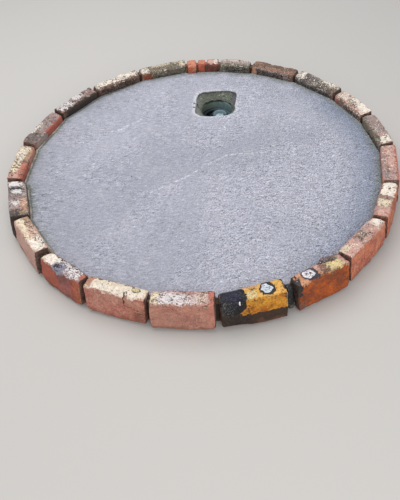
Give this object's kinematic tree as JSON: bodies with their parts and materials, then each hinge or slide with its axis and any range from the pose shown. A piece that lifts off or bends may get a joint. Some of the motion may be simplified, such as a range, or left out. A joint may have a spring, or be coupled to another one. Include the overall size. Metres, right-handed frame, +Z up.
{
  "type": "septic tank cover slab with brick kerb",
  "caption": "Round concrete cover slab of a septic tank, cast inside a kerb of fired bricks on edge, with a square opening over the tank's round neck.",
  "frame": {"origin": "middle of the slab's underside, on the ground", "axes": "+Z up, +Y to the back, where the opening is, +X to the right seen from the front"},
  "size_m": [1.6486, 1.6423, 0.1291],
  "materials": {
    "fired_clay": "rough, mottled with cream and black kiln glaze",
    "slab_concrete": "trowelled, matte",
    "mortar": "rough",
    "kiln_slag": "lumpy, half glossy",
    "neck_plastic": "satin, dusty",
    "pipe_plastic": "satin"
  },
  "bodies": {
    "root": {"kerb_brick_01": "fired_clay", "kerb_brick_02": "fired_clay", "kerb_brick_03": "fired_clay", "kerb_brick_04": "fired_clay", "kerb_brick_05": "fired_clay", "kerb_brick_06": "fired_clay", "kerb_brick_07": "fired_clay", "kerb_brick_08": "fired_clay", "kerb_brick_09": "fired_clay", "kerb_brick_10": "fired_clay", "kerb_brick_11": "fired_clay", "kerb_brick_12": "fired_clay", "kerb_brick_13": "fired_clay", "kerb_brick_14": "fired_clay", "kerb_brick_15": "fired_clay", "kerb_brick_16": "fired_clay", "kerb_brick_17": "fired_clay", "kerb_brick_18": "fired_clay", "kerb_brick_19": "fired_clay", "kerb_three_quarter_brick": "fired_clay", "kerb_bat_1": "fired_clay", "kerb_bat_2": "fired_clay", "kerb_bat_3": "fired_clay", "cover_slab": "slab_concrete", "mortar_fillet_1": "mortar", "mortar_fillet_2": "mortar", "mortar_fillet_3": "mortar", "mortar_fillet_4": "mortar", "mortar_fillet_5": "mortar", "mortar_fillet_6": "mortar", "joint_filling": "kiln_slag", "neck_collar": "neck_plastic", "neck_ledge": "neck_plastic", "neck_pipe": "pipe_plastic"}
  },
  "joints": []
}
